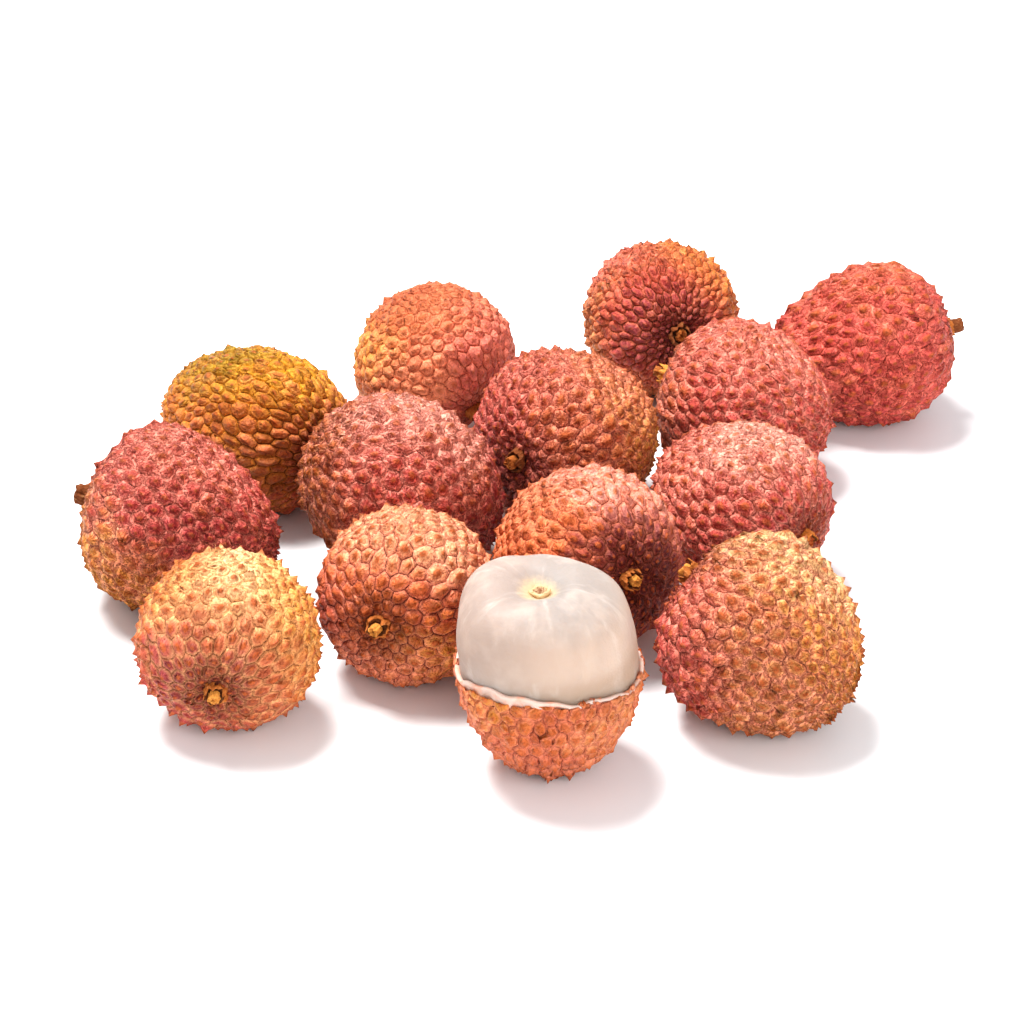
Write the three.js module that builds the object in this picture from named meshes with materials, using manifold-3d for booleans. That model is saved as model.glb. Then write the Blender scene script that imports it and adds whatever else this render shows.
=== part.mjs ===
// A bunch of lychees: thirteen whole fruits and one half-peeled fruit, lying together on a flat surface.
// Millimetres, +Z up. The origin is the middle of the bunch's footprint, on that surface.

import * as THREE from "three";
import { mergeVertices } from "three/addons/utils/BufferGeometryUtils.js";
import Module from "manifold-3d";

const wasm = await Module();
wasm.setup();

// Driving dimensions
const GAP = 0.3; // clearance between two pieces that touch
const REST_FLAT = 0.3; // how far a fruit's skin gives where it rests
const FRUIT_SIDES = 24;
const FRUIT_RINGS = 14;
const RING_CROWDING = 1.3; // above 1, the rings crowd towards the stem, where the pit needs them

const PIT_DEPTH = 1.6; // the hollow that the stem grows from
const PIT_SPREAD = 4.5;

const COLLAR_RADIUS = 2.0; // the dried calyx round the foot of the stem
const COLLAR_HEIGHT = 1.1;
const STUB_RADIUS = 1.2; // the snapped-off stalk
const STUB_TAPER = 0.85;
const STEM_SIDES = 10;
const COLLAR_FOOT = 0.85; // the collar's foot and mouth, as shares of its radius
const COLLAR_MOUTH = 0.8;

const SHELL_WALL = 1.0;
const WALL_RINGS = 8;
const PEELED_LENGTH = 40.8; // whole length of the fruit that the shell belongs to
const PEELED_WIDTH = 34.4;
const PEELED_SHOULDER = 0.14;
const RIM_HEIGHT = 24.5; // where the torn shell ends
const FLESH_WIDTH = 33.4;
const FLESH_WAIST = 26; // height at which the flesh is widest
const FLESH_TOP = 41.6;
const FLESH_SQUARENESS = 2.8; // 2 is an ellipse, and more gives the flesh broader shoulders
const FLESH_LIP = 0.6; // the flesh swells out over the torn rim within this height
const DOME_RINGS = 9;
const DIMPLE_DEPTH = 3.6;
const DIMPLE_SPREAD = 5.0;
const DIMPLE_OFFSET = 1.2; // off the axis, the way the fruit leans
const SCAR_RADIUS = 1.7;
const SCAR_HEIGHT = 0.7;
const SCAR_TOP = 0.7; // the scar's top as a share of its radius
const SCAR_HOLLOW = 0.6; // the middle of its top as a share of its height

const SKIN_ROUGHNESS = 0.6;
const STEM_ROUGHNESS = 0.9;
const FLESH_ROUGHNESS = 0.25;

// Every whole fruit: where it lies, its length and width, how much fatter its stem half is (shoulder),
// the compass heading and the pitch of its stem in degrees, how far the stub stands out of the collar,
// and the skin's main colour.
const wholeFruits = [
  { name: "front_left", x: -58.5, y: -59.1, length: 33.2, width: 34.2, shoulder: 0.12,
    heading: -96, pitch: -10, stub: 2.6, colour: 0xd9a45f },
  { name: "far_left", x: -71.1, y: -16.3, length: 39.6, width: 35.2, shoulder: 0.3,
    heading: 169, pitch: 13, stub: 3.2, colour: 0xb5544c },
  { name: "back_left", x: -59.8, y: 25.1, length: 44.2, width: 33.2, shoulder: 0.12,
    heading: -41, pitch: 4, stub: 1.5, colour: 0xb08034 },
  { name: "mid_left", x: -27.1, y: -5.3, length: 44.2, width: 35.8, shoulder: -0.09,
    heading: 18, pitch: -35, stub: 2, colour: 0xb06a58 },
  { name: "back_middle", x: -22.8, y: 52.9, length: 32.4, width: 35.2, shoulder: 0.1,
    heading: -45, pitch: -30, stub: 2, colour: 0xc87444 },
  { name: "front_middle", x: -25, y: -41.9, length: 35, width: 33.8, shoulder: 0.13,
    heading: -110, pitch: 6, stub: 1.8, colour: 0xc9795a },
  { name: "centre", x: 7.6, y: 17.6, length: 39.4, width: 36.8, shoulder: 0.28,
    heading: -131, pitch: 6, stub: 2.2, colour: 0xb56557 },
  { name: "behind_peeled", x: 8.2, y: -29.3, length: 38.4, width: 35.6, shoulder: 0.17,
    heading: -59, pitch: 12, stub: 1.6, colour: 0xb9644c },
  { name: "far_back", x: 27.6, y: 75.3, length: 37, width: 33.4, shoulder: 0.03,
    heading: -78, pitch: 14, stub: 1.8, colour: 0xa9604c },
  { name: "back_right", x: 43.8, y: 34.1, length: 38, width: 34.2, shoulder: 0.12,
    heading: 160, pitch: 13, stub: 2.4, colour: 0xbd5950 },
  { name: "far_right", x: 70.2, y: 60.4, length: 42.2, width: 34, shoulder: 0.24,
    heading: 9, pitch: 10, stub: 2.4, colour: 0xb84540 },
  { name: "mid_right", x: 39.8, y: -7.8, length: 38.2, width: 33, shoulder: 0.18,
    heading: -44, pitch: -5, stub: 0.6, colour: 0xcf7466 },
  { name: "front_right", x: 41.8, y: -60, length: 39, width: 36.6, shoulder: 0.18,
    heading: 151, pitch: 31, stub: 2, colour: 0xc07a58 },
];
const peeledFruit = { x: 2.3, y: -75.9, heading: -150, pitch: 87 };

const shellColour = 0xcf7a5c;
const fleshColour = 0xe9e2d8;
const scarColour = 0xc9a66a;
const stemColour = 0x8a6238;

// --- Helpers ---------------------------------------------------------------------------------------

function material(colour, roughness) {
  return new THREE.MeshStandardMaterial({ color: colour, roughness, metalness: 0 });
}

// A profile of [radius, height] pairs from the bottom of the axis to the top, turned round +Z.
function turned(profile, sides) {
  const points = profile.map(([radius, height]) => new THREE.Vector2(radius, height));
  return new THREE.LatheGeometry(points, sides).rotateX(Math.PI / 2);
}

function toSolid(geometry) {
  const bare = geometry.clone();
  bare.deleteAttribute("normal");
  bare.deleteAttribute("uv");
  const merged = mergeVertices(bare, 1e-4);
  return new wasm.Manifold(new wasm.Mesh({
    numProp: 3,
    vertProperties: merged.attributes.position.array,
    triVerts: new Uint32Array(merged.index.array),
  }));
}

function toGeometry(solid) {
  const mesh = solid.getMesh();
  const geometry = new THREE.BufferGeometry();
  geometry.setAttribute("position", new THREE.BufferAttribute(mesh.vertProperties, 3));
  geometry.setIndex(new THREE.BufferAttribute(mesh.triVerts, 1));
  geometry.computeVertexNormals();
  return geometry;
}

function named(name, geometry, skin) {
  const mesh = new THREE.Mesh(geometry, skin);
  mesh.name = name;
  return mesh;
}

// A group whose own +Z points along a heading and a pitch.
function laidDown({ x, y, heading, pitch }) {
  const group = new THREE.Group();
  group.position.set(x, y, 0);
  const lean = THREE.MathUtils.degToRad(90 - pitch);
  group.rotation.set(0, lean, THREE.MathUtils.degToRad(heading), "ZYX");
  return group;
}

// Lowers the group until its skin gives by REST_FLAT, and returns the skin with that flat cut on it.
function settle(group, geometry) {
  const up = new THREE.Vector3(0, 0, 1).applyQuaternion(group.quaternion.clone().invert());
  const corner = new THREE.Vector3();
  let lowest = Infinity;
  for (let i = 0; i < geometry.attributes.position.count; i++) {
    corner.fromBufferAttribute(geometry.attributes.position, i);
    lowest = Math.min(lowest, corner.dot(up));
  }
  const floor = lowest + REST_FLAT;
  group.position.z = -floor;
  return toGeometry(toSolid(geometry).trimByPlane(up.toArray(), floor));
}

// --- Whole fruits ----------------------------------------------------------------------------------

// An egg of a given length and width, fatter towards the stem by the shoulder factor.
function eggRadius(angle, width, shoulder) {
  return (width / 2) * Math.sin(angle) * (1 + shoulder * Math.cos(angle));
}

function pitDepth(radius) {
  return PIT_DEPTH * Math.exp(-((radius / PIT_SPREAD) ** 2));
}

function fruitProfile({ length, width, shoulder }) {
  const profile = [];
  for (let ring = 0; ring <= FRUIT_RINGS; ring++) {
    const angle = Math.PI * (1 - ring / FRUIT_RINGS) ** RING_CROWDING;
    const onAxis = ring === 0 || ring === FRUIT_RINGS;
    const radius = onAxis ? 0 : eggRadius(angle, width, shoulder);
    const pit = angle < Math.PI / 2 ? pitDepth(radius) : 0;
    profile.push([radius, (length / 2) * Math.cos(angle) - pit]);
  }
  return profile;
}

// The collar's foot is flat and stands clear of the pit's floor at the collar's edge.
function stemProfile(fruit) {
  const foot = fruit.length / 2 - pitDepth(COLLAR_RADIUS) + GAP;
  const collarTop = foot + COLLAR_HEIGHT;
  const stubTop = collarTop + fruit.stub;
  return [
    [0, foot],
    [COLLAR_RADIUS * COLLAR_FOOT, foot],
    [COLLAR_RADIUS, foot + COLLAR_HEIGHT / 2],
    [COLLAR_RADIUS * COLLAR_MOUTH, collarTop],
    [STUB_RADIUS, collarTop],
    [STUB_RADIUS * STUB_TAPER, stubTop],
    [0, stubTop],
  ];
}

function wholeFruit(fruit) {
  const group = laidDown(fruit);
  const skin = settle(group, turned(fruitProfile(fruit), FRUIT_SIDES));
  const stem = turned(stemProfile(fruit), STEM_SIDES);
  group.add(named(`lychee_${fruit.name}`, skin, material(fruit.colour, SKIN_ROUGHNESS)));
  group.add(named(`stem_${fruit.name}`, stem, material(stemColour, STEM_ROUGHNESS)));
  return group;
}

// --- The half-peeled fruit -------------------------------------------------------------------------

// The outside of the shell at a height above the fruit's tip, drawn in by an inset.
function shellRadius(height, inset) {
  const half = PEELED_LENGTH / 2;
  const along = THREE.MathUtils.clamp((height - half) / (half - inset), -1, 1);
  return eggRadius(Math.acos(along), PEELED_WIDTH - 2 * inset, PEELED_SHOULDER);
}

// Heights from the lowest point of an inset wall up to the rim, crowded where the wall curves most.
function wallHeights(inset) {
  const heights = [];
  for (let ring = 0; ring <= WALL_RINGS; ring++) {
    const climb = 1 - Math.cos((Math.PI / 2) * (ring / WALL_RINGS));
    heights.push(inset + (RIM_HEIGHT - inset) * climb);
  }
  return heights;
}

function shellProfile() {
  const outside = wallHeights(0).map((z) => [shellRadius(z, 0), z]);
  const inside = wallHeights(SHELL_WALL).map((z) => [shellRadius(z, SHELL_WALL), z]);
  return [...outside, ...inside.reverse()];
}

// Below the rim the flesh follows the shell, and above it the flesh swells to its own broad dome.
function fleshProfile() {
  const inset = SHELL_WALL + GAP;
  const rimRadius = shellRadius(RIM_HEIGHT, inset);
  const profile = wallHeights(inset).map((z) => [shellRadius(z, inset), z]);
  profile.push([(rimRadius + FLESH_WIDTH / 2) / 2, RIM_HEIGHT + FLESH_LIP]);
  const power = 2 / FLESH_SQUARENESS;
  for (let ring = 0; ring <= DOME_RINGS; ring++) {
    const angle = (Math.PI / 2) * (1 - (1 - ring / DOME_RINGS) ** RING_CROWDING);
    const radius = ring === DOME_RINGS ? 0 : (FLESH_WIDTH / 2) * Math.cos(angle) ** power;
    profile.push([radius, FLESH_WAIST + (FLESH_TOP - FLESH_WAIST) * Math.sin(angle) ** power]);
  }
  return profile;
}

function dimple(radius) {
  return DIMPLE_DEPTH * Math.exp(-((radius / DIMPLE_SPREAD) ** 2));
}

// The flesh with its dimple pressed into the dome, a little off the axis.
function dimpledFlesh() {
  const flesh = turned(fleshProfile(), FRUIT_SIDES);
  const corners = flesh.attributes.position;
  for (let i = 0; i < corners.count; i++) {
    if (corners.getZ(i) < FLESH_WAIST) continue;
    const fromCentre = Math.hypot(corners.getX(i) - DIMPLE_OFFSET, corners.getY(i));
    corners.setZ(i, corners.getZ(i) - dimple(fromCentre));
  }
  return flesh;
}

function scarProfile() {
  const foot = FLESH_TOP - dimple(SCAR_RADIUS) + GAP;
  return [
    [0, foot],
    [SCAR_RADIUS, foot],
    [SCAR_RADIUS * SCAR_TOP, foot + SCAR_HEIGHT],
    [0, foot + SCAR_HEIGHT * SCAR_HOLLOW],
  ];
}

function halfPeeledFruit() {
  const group = laidDown(peeledFruit);
  const shell = settle(group, turned(shellProfile(), FRUIT_SIDES));
  const scar = named("peeled_scar", turned(scarProfile(), STEM_SIDES), material(scarColour, STEM_ROUGHNESS));
  scar.position.x = DIMPLE_OFFSET;
  group.add(named("peeled_shell", shell, material(shellColour, SKIN_ROUGHNESS)));
  group.add(named("peeled_flesh", dimpledFlesh(), material(fleshColour, FLESH_ROUGHNESS)));
  group.add(scar);
  return group;
}

// --- The bunch -------------------------------------------------------------------------------------

const bunch = new THREE.Group();
for (const fruit of wholeFruits) bunch.add(wholeFruit(fruit));
bunch.add(halfPeeledFruit());

const footprint = new THREE.Box3().setFromObject(bunch, true).getCenter(new THREE.Vector3());
bunch.position.set(-footprint.x, -footprint.y, 0);

export default bunch;
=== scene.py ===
# %% [markdown]
# # A bunch of lychees
#
# The frame holds the plain solids: thirteen whole fruits, their stems, and one half-peeled fruit. This
# lesson dresses them. Every skin is grown by one Geometry Nodes tree, because a lychee's skin follows a
# rule: the fruit is tiled with small polygonal plates, and each plate rises to a thorn. The sizes that
# the tree needs are measured from the solids, so each skin lies exactly where its solid does.

import math

import bpy
import mathutils.noise
import numpy as np
from mathutils import Matrix, Vector


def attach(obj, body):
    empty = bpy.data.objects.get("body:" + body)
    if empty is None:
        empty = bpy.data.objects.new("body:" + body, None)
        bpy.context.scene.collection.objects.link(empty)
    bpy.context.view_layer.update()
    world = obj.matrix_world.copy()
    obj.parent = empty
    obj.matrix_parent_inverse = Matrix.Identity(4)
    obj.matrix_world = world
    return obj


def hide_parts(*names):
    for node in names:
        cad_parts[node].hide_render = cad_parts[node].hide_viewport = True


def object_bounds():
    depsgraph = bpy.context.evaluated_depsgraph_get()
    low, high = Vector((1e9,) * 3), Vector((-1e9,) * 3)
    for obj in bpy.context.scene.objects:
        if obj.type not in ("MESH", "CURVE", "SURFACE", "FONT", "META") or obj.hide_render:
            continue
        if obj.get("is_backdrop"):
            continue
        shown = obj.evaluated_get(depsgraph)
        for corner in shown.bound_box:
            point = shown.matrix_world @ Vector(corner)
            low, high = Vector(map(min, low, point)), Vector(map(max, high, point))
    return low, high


MM = 0.001

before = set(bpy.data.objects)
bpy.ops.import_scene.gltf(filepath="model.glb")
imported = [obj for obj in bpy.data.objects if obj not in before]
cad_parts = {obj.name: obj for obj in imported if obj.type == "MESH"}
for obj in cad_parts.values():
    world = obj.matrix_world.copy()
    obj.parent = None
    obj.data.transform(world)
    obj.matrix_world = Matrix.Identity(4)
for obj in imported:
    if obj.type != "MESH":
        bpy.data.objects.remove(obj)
cad_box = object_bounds()
print("nodes in the frame:", len(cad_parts))

# %% [markdown]
# ## The camera
#
# The bunch is seen from thirty degrees above the table with a long lens, so the far fruits are hardly
# smaller than the near ones.

# %% Camera
SIGHT_HEIGHT = math.radians(30)
SIGHT_DISTANCE = 700 * MM
LOOK_AT = Vector((-5.45, 17.4, 0)) * MM
LENS = 117.2
NEAREST = 50 * MM

camera_data = bpy.data.cameras.new("Camera")
camera_data.lens = LENS
camera_data.clip_start = NEAREST
camera = bpy.data.objects.new("Camera", camera_data)
back = Vector((0, -math.cos(SIGHT_HEIGHT), math.sin(SIGHT_HEIGHT)))
camera.location = LOOK_AT + back * SIGHT_DISTANCE
camera.rotation_euler = back.to_track_quat("Z", "Y").to_euler()
bpy.context.collection.objects.link(camera)
bpy.context.scene.camera = camera
print("camera at", [round(c, 3) for c in camera.location])

# %% [markdown]
# ## Node trees written as expressions
#
# Both materials and Geometry Nodes are trees of small nodes. A `Field` wraps one output socket, and the
# usual operators on it add the Math nodes, so `1 - mask * 0.5` reads as it would on paper. Every other
# node comes from `Graph.add`, which takes the node's type, its settings and its sockets.


# %% Graph
class Graph:
    """Adds nodes to one shader or geometry node tree."""

    def __init__(self, tree):
        self.tree = tree

    def add(self, kind, settings=None, sockets=None):
        node = self.tree.nodes.new(kind)
        for name, value in (settings or {}).items():
            setattr(node, name, value)
        for key, value in (sockets or {}).items():
            self.feed(self.pick(node.inputs, key), value)
        return node

    def pick(self, sockets, key):
        if isinstance(key, int):
            return sockets[key]
        return next(s for s in sockets if s.name == key and s.enabled)

    def feed(self, socket, value):
        if isinstance(value, Field):
            self.tree.links.new(value.socket, socket)
        elif socket.type == "VECTOR" and isinstance(value, (int, float)):
            socket.default_value = (value, value, value)
        elif socket.type == "RGBA" and len(value) == 3:
            socket.default_value = (*value, 1)
        else:
            socket.default_value = value

    def field(self, node, key=0):
        return Field(self, self.pick(node.outputs, key))

    def math(self, operation, *values):
        return self.field(self.add("ShaderNodeMath", {"operation": operation}, dict(enumerate(values))))

    def vector_math(self, operation, *values, out="Vector"):
        node = self.add("ShaderNodeVectorMath", {"operation": operation}, dict(enumerate(values)))
        return self.field(node, out)

    def noise(self, where, scale, detail=2, roughness=0.5, out=0):
        sockets = {"Vector": where, "Scale": scale, "Detail": detail, "Roughness": roughness}
        return self.field(self.add("ShaderNodeTexNoise", None, sockets), out)

    def smooth(self, value, low, high):
        """0 at low, 1 at high, with a smooth step between, whichever of the two is the larger."""
        settings = {"interpolation_type": "SMOOTHSTEP"}
        sockets = {"Value": value, "From Min": low, "From Max": high}
        return self.field(self.add("ShaderNodeMapRange", settings, sockets))

    def mix(self, mask, under, over, blend="MIX"):
        """One colour laid over another by a mask."""
        settings = {"data_type": "RGBA", "blend_type": blend}
        node = self.add("ShaderNodeMix", settings, {"Factor": mask, "A": under, "B": over})
        return self.field(node, "Result")


# %% Field
class Field:
    """One output socket, with operators that add the nodes for them."""

    def __init__(self, graph, socket):
        self.graph = graph
        self.socket = socket

    def combine(self, operation, left, right):
        pair = [v for v in (left, right) if isinstance(v, Field)]
        if any(v.socket.type == "VECTOR" for v in pair):
            return self.graph.vector_math(operation, left, right)
        return self.graph.math(operation, left, right)

    def __add__(self, other):
        return self.combine("ADD", self, other)

    def __radd__(self, other):
        return self.combine("ADD", other, self)

    def __sub__(self, other):
        return self.combine("SUBTRACT", self, other)

    def __rsub__(self, other):
        return self.combine("SUBTRACT", other, self)

    def __mul__(self, other):
        return self.combine("MULTIPLY", self, other)

    def __rmul__(self, other):
        return self.combine("MULTIPLY", other, self)

    def __truediv__(self, other):
        return self.combine("DIVIDE", self, other)

    def __rtruediv__(self, other):
        return self.combine("DIVIDE", other, self)

    def __pow__(self, other):
        return self.graph.math("POWER", self, other)

    def __neg__(self):
        return self * -1

    def part(self, axis):
        node = self.graph.add("ShaderNodeSeparateXYZ", None, {"Vector": self})
        return self.graph.field(node, axis)


# %% [markdown]
# ## Measuring a fruit
#
# A whole fruit's solid is an egg turned round its stem's axis. The line from the fruit's centre of volume
# to its stem's is that axis. At a share t along it, from -1 at the tip to 1 at the stem, the egg's radius
# is half_width * sqrt(1 - t * t) * (1 + shoulder * t), so for a trial half length the other two sizes
# come from a straight-line fit, and the best trial wins.


# %% Measure the eggs
# half lengths to try, as shares of how far the solid reaches along its axis
TRIALS = np.linspace(0.49, 0.56, 141)
# the ends of the egg, where its radius changes fast, and the flat it rests on are left out of the fit
CLEAR_SHARE = 0.8
CLEAR_HEIGHT = 1 * MM


def corners(node):
    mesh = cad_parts[node].data
    flat = np.zeros(len(mesh.vertices) * 3, np.float32)
    mesh.vertices.foreach_get("co", flat)
    return flat.reshape(-1, 3).astype(float)


def centre_of_volume(node):
    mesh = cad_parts[node].data
    points = corners(node)
    mesh.calc_loop_triangles()
    triangles = np.zeros(len(mesh.loop_triangles) * 3, np.int32)
    mesh.loop_triangles.foreach_get("vertices", triangles)
    a, b, c = (points[triangles.reshape(-1, 3)[:, k]] for k in range(3))
    volumes = np.einsum("ij,ij->i", a, np.cross(b, c))
    return (volumes[:, None] * (a + b + c) / 4).sum(0) / volumes.sum()


def egg_of(name):
    middle = centre_of_volume("lychee_" + name)
    axis = centre_of_volume("stem_" + name) - middle
    axis /= np.linalg.norm(axis)
    points = corners("lychee_" + name)
    out = points - middle
    along = out @ axis
    radius = np.linalg.norm(out - np.outer(along, axis), axis=1)
    tip, reach = along.min(), along.max() - along.min()
    best = None
    for half_length in reach * TRIALS:
        t = (along - tip) / half_length - 1
        clear = (np.abs(t) < CLEAR_SHARE) & (points[:, 2] > CLEAR_HEIGHT)
        girth = radius[clear] / np.sqrt(1 - t[clear] ** 2)
        slope, half_width = np.polyfit(t[clear], girth, 1)
        error = np.abs(half_width + slope * t[clear] - girth).mean()
        if best is None or error < best[0]:
            best = (error, half_length, half_width, slope / half_width)
    _, half_length, half_width, shoulder = best
    return {
        "centre": Vector(middle + axis * (tip + half_length)),
        "axis": Vector(axis),
        "half_length": float(half_length),
        "half_width": float(half_width),
        "shoulder": float(shoulder),
    }


WHOLE = sorted(name.removeprefix("lychee_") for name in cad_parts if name.startswith("lychee_"))
EGGS = {name: egg_of(name) for name in WHOLE}
for name, egg in EGGS.items():
    sizes = [round(egg[k] / MM, 2) for k in ("half_length", "half_width")]
    print(name, "half length and half width", sizes, "shoulder", round(egg["shoulder"], 3))

# %% [markdown]
# ## The skin as a tree of nodes
#
# On a real lychee the skin is tiled with polygonal plates, four to seven sided and about 3 mm across,
# and on most fruits smaller round the stem. Thin cracks part them, and each plate rises like a little tent
# to a thorn. They could be sculpted, or faked with a bump map, but the outline shows them, and their
# borders are where the colour changes, so they are real geometry here. The tree strews points evenly on
# a ball, takes the hull of the points and then the dual of the hull, which is the tiling. Each tile is
# inset twice, the ball is bent to the egg that was measured, and the rings of each tile are raised.

# %% The skin's inputs
SKIN_INPUTS = {
    "Seed": ("NodeSocketInt", 0),
    "Plate size": ("NodeSocketFloat", 0.14),
    "Crowding": ("NodeSocketFloat", 1.2),
    "Centre": ("NodeSocketVector", (0, 0, 0)),
    "Turn": ("NodeSocketRotation", (0, 0, 0)),
    "Half length": ("NodeSocketFloat", 20 * MM),
    "Half width": ("NodeSocketFloat", 17 * MM),
    "Shoulder": ("NodeSocketFloat", 0.1),
    "Pit depth": ("NodeSocketFloat", 1.6 * MM),
    "Swell": ("NodeSocketFloat", 0.3 * MM),
    "Tent": ("NodeSocketFloat", 0.4 * MM),
    "Thorn": ("NodeSocketFloat", 0.3 * MM),
    "Rim": ("NodeSocketFloat", 2.0),
    "Skin": ("NodeSocketMaterial", None),
}
print("the skin's inputs:", ", ".join(SKIN_INPUTS))


# %% Geometry nodes by short names
class SkinGraph(Graph):
    """A Graph with short names for the geometry nodes that the skin uses."""

    def place(self):
        return self.field(self.add("GeometryNodeInputPosition"))

    def attribute(self, name, kind="FLOAT"):
        node = self.add("GeometryNodeInputNamedAttribute", {"data_type": kind}, {"Name": name})
        return self.field(node, "Attribute")

    def moved(self, mesh, position, choice=True):
        sockets = {"Geometry": mesh, "Position": position, "Selection": choice}
        return self.field(self.add("GeometryNodeSetPosition", None, sockets))

    def stored(self, mesh, name, value, domain="POINT", kind="FLOAT", choice=True):
        sockets = {"Geometry": mesh, "Name": name, "Value": value, "Selection": choice}
        settings = {"data_type": kind, "domain": domain}
        return self.field(self.add("GeometryNodeStoreNamedAttribute", settings, sockets))

    def random(self, seed, low, high, kind="FLOAT"):
        sockets = {"Min": low, "Max": high, "Seed": seed}
        return self.field(self.add("FunctionNodeRandomValue", {"data_type": kind}, sockets), "Value")

    def on_ball(self, mesh):
        return self.moved(mesh, self.vector_math("NORMALIZE", self.place()))

    def vector(self, x, y, z):
        return self.field(self.add("ShaderNodeCombineXYZ", None, {"X": x, "Y": y, "Z": z}))


# %% The tiling
BALL_LEVELS = 5  # how finely the ball that the points are strewn on is divided
STREW_DENSITY = 2000.0  # high enough that only the least distance between two points sets how many there are
CROWD_BOTH_ENDS = 0.4  # how much smaller the plates get towards both ends of the fruit
CROWD_POWER = 4  # how near to the stem the further crowding keeps


def strewn_plates(g, given):
    """The dual of a hull of evenly strewn points, crowded towards the ends of the fruit."""
    ball = g.add("GeometryNodeMeshIcoSphere", None, {"Radius": 1.0, "Subdivisions": BALL_LEVELS})
    sockets = {
        "Mesh": g.field(ball),
        "Distance Min": given["Plate size"],
        "Density Max": STREW_DENSITY,
        "Seed": given["Seed"],
    }
    strewn = g.add("GeometryNodeDistributePointsOnFaces", {"distribute_method": "POISSON"}, sockets)
    hull = g.add("GeometryNodeConvexHull", None, {"Geometry": g.field(strewn)})
    mesh = g.on_ball(g.field(g.add("GeometryNodeDualMesh", None, {"Mesh": g.field(hull)})))
    x, y, height = (g.place().part(axis) for axis in "XYZ")
    at_stem = g.math("MAXIMUM", height, 0.0) ** CROWD_POWER
    crowd = 1 + height * height * CROWD_BOTH_ENDS + at_stem * given["Crowding"]
    return g.on_ball(g.moved(mesh, g.vector(x, y, height * crowd)))


# %% The marks on the plates
VIGOUR = (0.5, 1.3)  # the least and the most that a plate stands out, as a share of the usual


def marked_plates(g, mesh):
    """Gives each plate its middle, its tone, its height and the way its thorn leans."""
    mesh = g.stored(mesh, "tone", g.random(1, 0.0, 1.0), "FACE")
    mesh = g.stored(mesh, "vigour", g.random(2, *VIGOUR), "FACE")
    lean = g.random(3, (-1, -1, -1), (1, 1, 1), "FLOAT_VECTOR")
    mesh = g.stored(mesh, "lean", lean, "FACE", "FLOAT_VECTOR")
    middle = g.vector_math("NORMALIZE", g.place())
    return g.stored(mesh, "middle", middle, "FACE", "FLOAT_VECTOR")


# %% The insets
INSETS = (0.86, 0.4)  # the size of each ring of a plate, as a share of the plate
POINT_REACH = 0.004  # corners this near to a plate's middle, on a ball of radius 1, are its thorn's point


def inset_plates(g, mesh):
    """Insets each plate, and keeps how far in a corner is, from 0 in a crack to 1 on a thorn."""
    mesh = g.stored(mesh, "rise", 0.0)
    inner, reach = True, 1.0
    for inset in INSETS:
        sockets = {"Mesh": mesh, "Selection": inner, "Offset Scale": 0.0, "Individual": True}
        extruded = g.add("GeometryNodeExtrudeMesh", {"mode": "FACES"}, sockets)
        inner = g.field(extruded, "Top")
        sockets = {"Geometry": g.field(extruded, "Mesh"), "Selection": inner, "Scale": inset / reach}
        mesh = g.field(g.add("GeometryNodeScaleElements", {"domain": "FACE"}, sockets))
        mesh = g.stored(mesh, "rise", 1 - inset, choice=inner)
        reach = inset
    mesh = g.on_ball(g.field(g.add("GeometryNodeSubdivideMesh", None, {"Mesh": mesh, "Level": 1})))
    off_middle = g.vector_math("DISTANCE", g.place(), g.attribute("middle", "FLOAT_VECTOR"), out="Value")
    return g.stored(mesh, "rise", 1.0, choice=g.math("LESS_THAN", off_middle, POINT_REACH))


# %% [markdown]
# ## The rim of the peeled fruit's cup
#
# One fruit is half peeled, and its skin stands as a cup. The tree cuts a skin off above its rim input,
# which is a share of the half length, and a whole fruit's rim is simply out of reach. Torn skin has no
# straight edge, so the rim goes up and down round the fruit: one wave tilts it, one dips it at both sides,
# and three small ones make it ragged. The lining needs the same line, so the waves are a function that
# takes either nodes or plain numbers.

# %% The torn rim
RIM_SAG = 0.058  # how far the middle of the waves lies below the rim input, as a share of the half length
# how many waves go round the fruit, their depth as a share of the half length, and their start in radians
RIM_WAVES = ((1, 0.037, -1.57), (2, 0.067, -1.57), (5, 0.010, 1.0), (9, 0.008, 4.0), (17, 0.006, 2.0))


def rim_wave(azimuth, sine):
    """How far the torn rim stands above the rim input, as a share of the half length."""
    return sum(sine(azimuth * count + start) * depth for count, depth, start in RIM_WAVES) - RIM_SAG


def cut_at_rim(g, given, mesh):
    x, y, height = (g.place().part(axis) for axis in "XYZ")
    azimuth = g.math("ARCTAN2", y, x)
    rim = given["Rim"] + rim_wave(azimuth, lambda angle: g.math("SINE", angle))
    mesh = g.stored(mesh, "above", g.math("GREATER_THAN", height, rim), "POINT", "BOOLEAN")
    sockets = {"Geometry": mesh, "Selection": g.attribute("above", "BOOLEAN")}
    kept = g.add("GeometryNodeDeleteGeometry", {"domain": "FACE"}, sockets)
    return g.moved(g.field(kept), g.vector(x, y, g.math("MINIMUM", height, rim)))


# %% The egg
PIT_SPREAD = 4.5 * MM


def on_egg(g, given, p):
    """Where a point of the unit ball lies on the fruit."""
    height = p.part("Z")
    girth = given["Half width"] * (1 + given["Shoulder"] * height)
    out = g.math("SQRT", g.math("MAXIMUM", 1 - height * height, 0.0)) * girth / PIT_SPREAD
    pit = given["Pit depth"] * g.math("EXPONENT", -(out * out)) * g.math("GREATER_THAN", height, 0.0)
    shape = g.vector(p.part("X") * girth, p.part("Y") * girth, height * given["Half length"] - pit)
    turned = g.add("FunctionNodeRotateVector", None, {"Vector": shape, "Rotation": given["Turn"]})
    return g.field(turned) + given["Centre"]


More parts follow.
